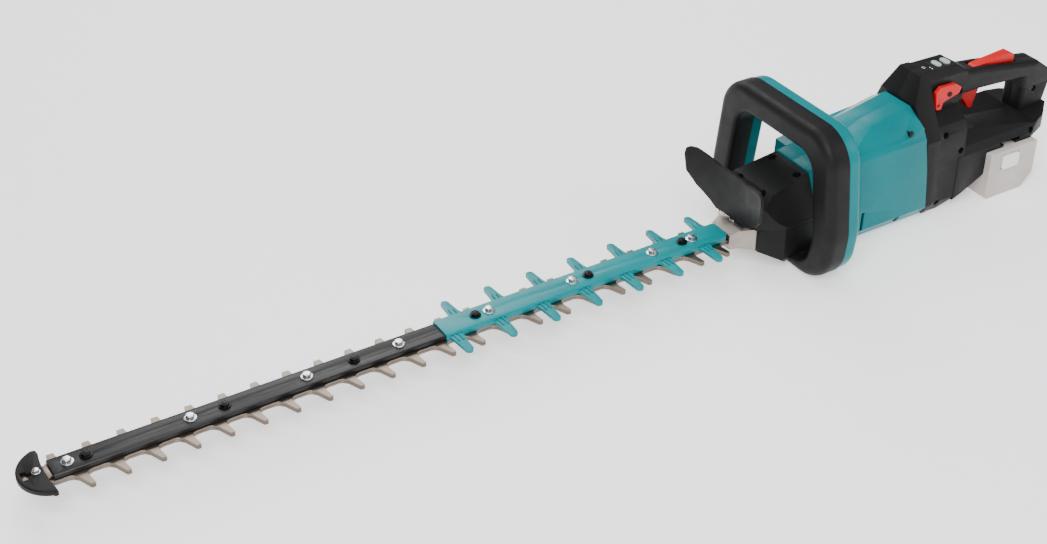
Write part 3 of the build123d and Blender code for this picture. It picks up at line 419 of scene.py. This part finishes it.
def points_object(name, points):
    """An object of loose points, on which copies are to stand."""
    mesh = bpy.data.meshes.new(name)
    mesh.from_pydata([tuple(p) for p in points], [], [])
    piece = bpy.data.objects.new(name, mesh)
    bpy.context.scene.collection.objects.link(piece)
    return piece


# ---------------------------------------------------------------- geometry nodes


def repeat_tree():
    """A tree that stands copies of one object on every point, turned by a seeded amount."""
    tree = bpy.data.node_groups.new("Repeat on points", "GeometryNodeTree")
    face = tree.interface
    face.new_socket("Geometry", in_out="INPUT", socket_type="NodeSocketGeometry")
    names = {}
    for label, kind in (("Copied piece", "NodeSocketObject"), ("Size", "NodeSocketFloat"),
                        ("Largest turn", "NodeSocketFloat"), ("Seed", "NodeSocketInt"),
                        ("Finish", "NodeSocketMaterial")):
        names[label] = face.new_socket(label, in_out="INPUT", socket_type=kind).identifier
    face.new_socket("Geometry", in_out="OUTPUT", socket_type="NodeSocketGeometry")
    nodes, links = tree.nodes, tree.links
    source, sink = nodes.new("NodeGroupInput"), nodes.new("NodeGroupOutput")
    info, stand = nodes.new("GeometryNodeObjectInfo"), nodes.new("GeometryNodeInstanceOnPoints")
    turn, angle = nodes.new("FunctionNodeRandomValue"), nodes.new("ShaderNodeCombineXYZ")
    turn.data_type = "FLOAT"
    real, paint = nodes.new("GeometryNodeRealizeInstances"), nodes.new("GeometryNodeSetMaterial")
    links.new(source.outputs["Copied piece"], info.inputs["Object"])
    links.new(source.outputs["Geometry"], stand.inputs["Points"])
    links.new(info.outputs["Geometry"], stand.inputs["Instance"])
    links.new(source.outputs["Largest turn"], turn.inputs["Max"])
    links.new(source.outputs["Seed"], turn.inputs["Seed"])
    links.new(turn.outputs[1], angle.inputs["Z"])
    links.new(angle.outputs["Vector"], stand.inputs["Rotation"])
    links.new(source.outputs["Size"], stand.inputs["Scale"])
    links.new(stand.outputs["Instances"], real.inputs["Geometry"])
    links.new(real.outputs["Geometry"], paint.inputs["Geometry"])
    links.new(source.outputs["Finish"], paint.inputs["Material"])
    links.new(paint.outputs["Geometry"], sink.inputs["Geometry"])
    return tree, names


def repeated(name, copied, points, material, turn=0.0, seed=1):
    """Copies of a small piece on points, as one plain mesh. The copied piece is removed."""
    tree, sockets = repeat_tree()
    piece = points_object(name, points)
    modifier = piece.modifiers.new("repeat", "NODES")
    modifier.node_group = tree
    for label, value in (("Copied piece", copied), ("Size", 1.0), ("Largest turn", turn), ("Seed", seed),
                         ("Finish", material)):
        modifier[sockets[label]] = value
    made_plain(piece)
    bpy.data.objects.remove(copied)
    shade(piece.data)
    return piece


# ---------------------------------------------------------------- places read from the frame


def solid_boxes(node):
    """The lowest and highest corner of each separate solid of a node, from the tip backwards."""
    work = merged(node)
    left, boxes = set(work.verts), []
    while left:
        stack, group = [left.pop()], []
        while stack:
            vert = stack.pop()
            group.append(vert.co.copy())
            for edge in vert.link_edges:
                other = edge.other_vert(vert)
                if other in left:
                    left.discard(other)
                    stack.append(other)
        low = Vector([min(spot[i] for spot in group) for i in range(3)])
        high = Vector([max(spot[i] for spot in group) for i in range(3)])
        boxes.append((low, high))
    work.free()
    return sorted(boxes, key=lambda pair: pair[0].x)


def underside(node, places):
    """The heights of a node's underside over places given as (x, y)."""
    skin = frame["nodes"][node].data
    tree = BVHTree.FromPolygons([v.co for v in skin.vertices], [p.vertices for p in skin.polygons])
    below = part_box(node)[0][2] - 10 * MM
    heights = []
    for x, y in places:
        spot = tree.ray_cast((x, y, below), (0, 0, 1))[0]
        if spot is None:
            raise RuntimeError(f"{node} has nothing over {x:.3f}, {y:.3f}")
        heights.append(spot.z)
    return heights


# ---------------------------------------------------------------- printed marks


def slab(name, outlines, place, thick, material):
    """Thin closed marks with the given outlines, in mm.

    place(u, v, out) gives each corner's spot, with out the height above the surface in metres.
    """
    work = bmesh.new()
    for points in outlines:
        low = [work.verts.new(place(u, v, -MARK_SINK)) for u, v in points]
        high = [work.verts.new(place(u, v, thick)) for u, v in points]
        work.faces.new(low)
        work.faces.new(high)
        for k in range(len(points)):
            around = (k + 1) % len(points)
            work.faces.new((low[k], low[around], high[around], high[k]))
    bmesh.ops.recalc_face_normals(work, faces=work.faces)
    mesh = mesh_from(work, name)
    shade(mesh)
    return add_object(name, mesh, material)


def round_points(middle, radius, turns):
    """Points at a radius about a middle."""
    return [(middle[0] + radius * math.cos(a), middle[1] + radius * math.sin(a)) for a in turns]


def arc(middle, radius, start, end, width, steps=14):
    """The outline of a bent stroke about a middle, between two angles in degrees."""
    turns = [math.radians(start + (end - start) * k / steps) for k in range(steps + 1)]
    inner = round_points(middle, radius - width / 2, turns)
    return round_points(middle, radius + width / 2, turns) + inner[::-1]


def bar(middle, width, height):
    """A rectangle's outline about its middle."""
    (u, v), half, tall = middle, width / 2, height / 2
    return [(u - half, v - tall), (u + half, v - tall), (u + half, v + tall), (u - half, v + tall)]


def dot(middle, radius, steps=20):
    """A round outline about its middle."""
    return round_points(middle, radius, [FULL_TURN * k / steps for k in range(steps)])


# ---------------------------------------------------------------- operators


class TrimmerOperator(bpy.types.Operator):
    """Common settings of the trimmer's operators"""

    bl_options = {"REGISTER", "UNDO"}


class MakeStage(TrimmerOperator):
    """Make the floor, the studio lights and the camera"""

    bl_idname = "trimmer.stage"
    bl_label = "Stage"

    FLOOR_RADIUS = 12
    FLOOR_THICK = 0.002
    LAMPS = (
        ("key", (-1.3, -1.5, 2.3), 1.4, 80),
        ("fill", (1.9, -1.4, 1.4), 1.2, 18),
        ("back", (0.5, 2.2, 1.8), 1.6, 46),
        ("top", (0.2, 0.1, 2.6), 1.8, 34),
    )
    AIM = Vector((0, 0, 0.08))
    SURROUND = 0.3
    LENS = 59.45
    SENSOR = 36
    CLIP = (0.05, 60)
    CAMERA_PLACE = (-0.8554, -1.241, 1.0771)
    CAMERA_TURN = (math.radians(55.55), 0, math.radians(-31.48))

    def execute(self, context):
        self.floor()
        self.studio(context)
        self.camera(context)
        return {"FINISHED"}

    def floor(self):
        """A round sheet of pale paper."""
        paper = Finish("paper")
        paper.set(Base_Color=paper.tint(paper.noise(3, 2), (0.9, 0.9, 0.9), (0.94, 0.94, 0.94)),
                  Roughness=paper.span(paper.noise(50, 3), 0, 1, 0.75, 0.9))
        paper.set(Emission_Color=(1, 1, 1, 1), Emission_Strength=0.65)
        radius, depth = self.FLOOR_RADIUS, -self.FLOOR_THICK
        floor = lathe("floor", [(0, depth), (radius, depth), (radius, 0), (0, 0)], 96, paper.material)

    def studio(self, context):
        """A pale surround and four soft lamps: name, place, size and power."""
        world = bpy.data.worlds.new("studio")
        world.use_nodes = True
        background = world.node_tree.nodes["Background"]
        background.inputs["Color"].default_value = (1, 1, 1, 1)
        background.inputs["Strength"].default_value = self.SURROUND
        context.scene.world = world
        for name, place, size, power in self.LAMPS:
            data = bpy.data.lights.new(name, "AREA")
            data.size, data.energy = size, power
            lamp = bpy.data.objects.new(name, data)
            lamp.location = place
            lamp.rotation_euler = (self.AIM - Vector(place)).to_track_quat("-Z", "Y").to_euler()
            context.scene.collection.objects.link(lamp)

    def camera(self, context):
        """From above the tip's near side, looking back along the bar."""
        data = bpy.data.cameras.new("camera")
        data.lens, data.sensor_width = self.LENS, self.SENSOR
        data.clip_start, data.clip_end = self.CLIP
        camera = bpy.data.objects.new("camera", data)
        camera.location = self.CAMERA_PLACE
        camera.rotation_euler = self.CAMERA_TURN
        context.scene.collection.objects.link(camera)
        context.scene.camera = camera


class MakeInsides(TrimmerOperator):
    """Give every inner node of the frame its finish"""

    bl_idname = "trimmer.insides"
    bl_label = "Inner parts"

    def execute(self, context):
        FINISHES.update(make_finishes(context.scene.trimmer_finish))
        for node, piece in frame["nodes"].items():
            if not piece.material_slots:
                raise RuntimeError(f"{node} has no material slot")
            for slot in piece.material_slots:
                slot.link = "OBJECT"
                slot.material = FINISHES[slot_of(node)]
        return {"FINISHED"}


class MakeBlades(TrimmerOperator):
    """Make the two blades and the guide bar with their ground edges"""

    bl_idname = "trimmer.blades"
    bl_label = "Blades and bar"

    def execute(self, context):
        edge = context.scene.trimmer_edges.metal_edge
        for node in ("upper_blade", "lower_blade"):
            softened(node, edge, 1)
        softened("guide_bar", edge, 2, material=FINISHES["bar_black"])
        softened("tip_plate", edge, 2)
        softened("blade_cover", COVER_EDGE, 3, material=FINISHES["cover_teal"])
        softened("tip_guard", SMALL_EDGE, 2)
        softened("hand_guard", GUARD_EDGE, 3)
        return {"FINISHED"}


class MakeFasteners(TrimmerOperator):
    """Make the washers, bolts and nuts along the bar"""

    bl_idname = "trimmer.fasteners"
    bl_label = "Fasteners"

    HOLE = 2.6 * MM
    ROUNDING = 0.3 * MM
    LARGEST_TURN = 6.28
    SEED = 4

    def execute(self, context):
        self.washers()
        for node in ("bar_bolts", "bar_nuts", "bar_studs", "under_nuts", "nose_bolt", "tip_bolt"):
            softened(node, FINE_EDGE, 2)
        return {"FINISHED"}

    def washers(self):
        """Round washers with a rolled rim, each turned its own way."""
        boxes = solid_boxes("bar_washers")
        low, high = boxes[0]
        radius, thick = (high.x - low.x) / 2, high.z - low.z
        rim = [(radius - self.ROUNDING, 0), (radius, self.ROUNDING),
               (radius - self.ROUNDING / 2, thick * 0.8), (radius - 2 * self.ROUNDING, thick)]
        profile = [(self.HOLE, 0), *rim, (self.HOLE, thick), (self.HOLE, 0)]
        washer = lathe("washer", profile, 48, FINISHES["zinc_steel"])
        places = [((low.x + high.x) / 2, (low.y + high.y) / 2, low.z) for low, high in boxes]
        piece = repeated("bar_washers_set", washer, places, FINISHES["zinc_steel"],
                         self.LARGEST_TURN, self.SEED)
        settle(piece, "bar_washers")


class MakeGearCase(TrimmerOperator):
    """Make the gear case and the covers round it"""

    bl_idname = "trimmer.gear_case"
    bl_label = "Gear case and covers"

    def execute(self, context):
        edge = context.scene.trimmer_edges.shell_edge
        softened("gear_case", CASE_EDGE, 2)
        softened("under_cover", edge, 3)
        softened("gear_cover", edge, 3)
        softened("cover_screws", SOFT_EDGE, 2)
        return {"FINISHED"}


class MakeFrontHandle(TrimmerOperator):
    """Make the loop handle's grip and its back shell"""

    bl_idname = "trimmer.front_handle"
    bl_label = "Front handle"

    def execute(self, context):
        softened("front_handle_grip", LOOP_GRIP_EDGE, 5)
        softened("front_handle_back", LOOP_BACK_EDGE, 4)
        return {"FINISHED"}


class MakeMotorHousing(TrimmerOperator):
    """Make the motor housing's two shells"""

    bl_idname = "trimmer.motor_housing"
    bl_label = "Motor housing"

    def execute(self, context):
        edge = context.scene.trimmer_edges.shell_edge
        for node in ("motor_housing_left", "motor_housing_right"):
            softened(node, edge, 3)
        softened("housing_screws", FINE_EDGE, 2)
        return {"FINISHED"}


class MakeRearHandle(TrimmerOperator):
    """Make the rear handle, its panel, keys and levers"""

    bl_idname = "trimmer.rear_handle"
    bl_label = "Rear handle"

    RIB_LENGTH = 18.0 * MM
    RIB_WIDTH = 2.0 * MM
    RIB_SINK = 0.2 * MM
    RIB_START = 6 * MM
    RIB_SPACING = 3.2 * MM
    RIB_COUNT = 14
    LEVER_GAP = 0.45 * MM
    SIDE_LEAN = 2.0 / 37.0
    TOP_FALL = 2.7 / 51
    PANEL_LIP = 0.4
    LOCK_MARK_THICK = 0.12 * MM
    PANEL_MARK_THICK = 0.15 * MM

    def execute(self, context):
        edge = context.scene.trimmer_edges.shell_edge
        for node in ("rear_housing_left", "rear_housing_right"):
            softened(node, edge, 3)
        softened("soft_grip", SOFT_EDGE, 2)
        for node in ("control_panel", "power_button", "speed_button", "rear_screws"):
            softened(node, FINE_EDGE, 2)
        for node in ("upper_lever", "trigger", "lock_lever"):
            softened(node, LEVER_EDGE, 3)
        self.ribs(context)
        self.lock_marks()
        self.lamps()
        return {"FINISHED"}

    def ribs(self, context):
        """Low ribs across the grip's underside."""
        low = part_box("soft_grip")[0]
        height = context.scene.trimmer_edges.grip_rib
        steps, points = 6, []
        for side in (-1, 1):
            for k in range(steps + 1):
                turn = math.pi * k / steps
                across = self.RIB_WIDTH / 2 * math.cos(turn)
                up = -height * math.sin(turn) + self.RIB_SINK
                points.append((across, side * self.RIB_LENGTH / 2, up))
        near, far = range(steps + 1), range(steps + 1, 2 * steps + 2)
        faces = [(near[k], near[k + 1], far[k + 1], far[k]) for k in range(steps)]
        faces += [tuple(near), tuple(reversed(far)), (near[-1], near[0], far[0], far[-1])]
        work = bmesh.new()
        corners = [work.verts.new(point) for point in points]
        for face in faces:
            work.faces.new([corners[k] for k in face])
        bmesh.ops.recalc_face_normals(work, faces=work.faces)
        rib = add_object("rib", mesh_from(work, "rib"), FINISHES["soft_rubber"])
        start = low[0] + self.RIB_START
        along = [(start + self.RIB_SPACING * k, 0) for k in range(self.RIB_COUNT)]
        places = [(x, y, z) for (x, y), z in zip(along, underside("soft_grip", along))]
        piece = repeated("grip_ribs", rib, places, FINISHES["soft_rubber"])
        trim_piece(piece, "soft_grip")

    def lock_marks(self):
        """Printed lock signs beside the turn lock: a closed lock below, then dots and a stroke."""
        lever_low, lever_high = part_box("lock_lever")

        def place(u, v, out):
            side = lever_high[1] + self.LEVER_GAP + v * MM * self.SIDE_LEAN
            return (lever_low[0] + u * MM, side - out, lever_low[2] + v * MM)

        lock = [bar((-2.6, 4.5), 3.0, 2.6), arc((-2.6, 5.8), 1.1, 0, 180, 0.6)]
        travel = [dot((-2.2, 26.0), 0.7), dot((-2.5, 10.6), 0.7), bar((-2.3, 20.8), 0.9, 3.0)]
        piece = slab("lock_marks", lock + travel, place, self.LOCK_MARK_THICK, FINISHES["white_plastic"])
        trim_piece(piece, "rear_housing_right")

    def lamps(self):
        """Two small indicator lamps and a round mark before the keys."""
        low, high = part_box("control_panel")

        def place(u, v, out):
            behind_edge = (u + self.PANEL_LIP) * MM
            return (low[0] + u * MM, v * MM, high[2] - behind_edge * self.TOP_FALL + out)

        marks = [dot((-5.0, -7.5), 0.8), dot((-5.0, -4.0), 0.8), arc((-12.0, -1.0), 1.8, 20, 340, 0.5)]
        piece = slab("panel_marks", marks, place, self.PANEL_MARK_THICK, FINISHES["white_plastic"])
        trim_piece(piece, "control_panel")


class MakeBattery(TrimmerOperator):
    """Make the battery and its release button"""

    bl_idname = "trimmer.battery"
    bl_label = "Battery"

    def execute(self, context):
        softened("battery_case", BATTERY_EDGE, 3)
        softened("battery_button", SMALL_EDGE, 2)
        return {"FINISHED"}


class TrimmerPanel(bpy.types.Panel):
    """Lists the trimmer's operators and settings"""

    bl_idname = "VIEW3D_PT_trimmer"
    bl_label = "Hedge Trimmer"
    bl_space_type = "VIEW_3D"
    bl_region_type = "UI"
    bl_category = "Hedge Trimmer"

    def draw(self, context):
        for group in (context.scene.trimmer_finish, context.scene.trimmer_edges):
            for key in type(group).__annotations__:
                self.layout.prop(group, key)
        for operator in OPERATORS:
            self.layout.operator(operator.bl_idname)


OPERATORS = (MakeInsides, MakeStage, MakeBlades, MakeFasteners, MakeGearCase, MakeFrontHandle,
             MakeMotorHousing, MakeRearHandle, MakeBattery)
CLASSES = (TrimmerFinish, TrimmerEdges, *OPERATORS, TrimmerPanel)


def register():
    for each in CLASSES:
        bpy.utils.register_class(each)
    bpy.types.Scene.trimmer_finish = bpy.props.PointerProperty(type=TrimmerFinish)
    bpy.types.Scene.trimmer_edges = bpy.props.PointerProperty(type=TrimmerEdges)


def unregister():
    del bpy.types.Scene.trimmer_finish
    del bpy.types.Scene.trimmer_edges
    for each in reversed(CLASSES):
        bpy.utils.unregister_class(each)


def main():
    register()
    for operator in OPERATORS:
        group, action = operator.bl_idname.split(".")
        getattr(getattr(bpy.ops, group), action)()


if __name__ == "__main__":
    main()
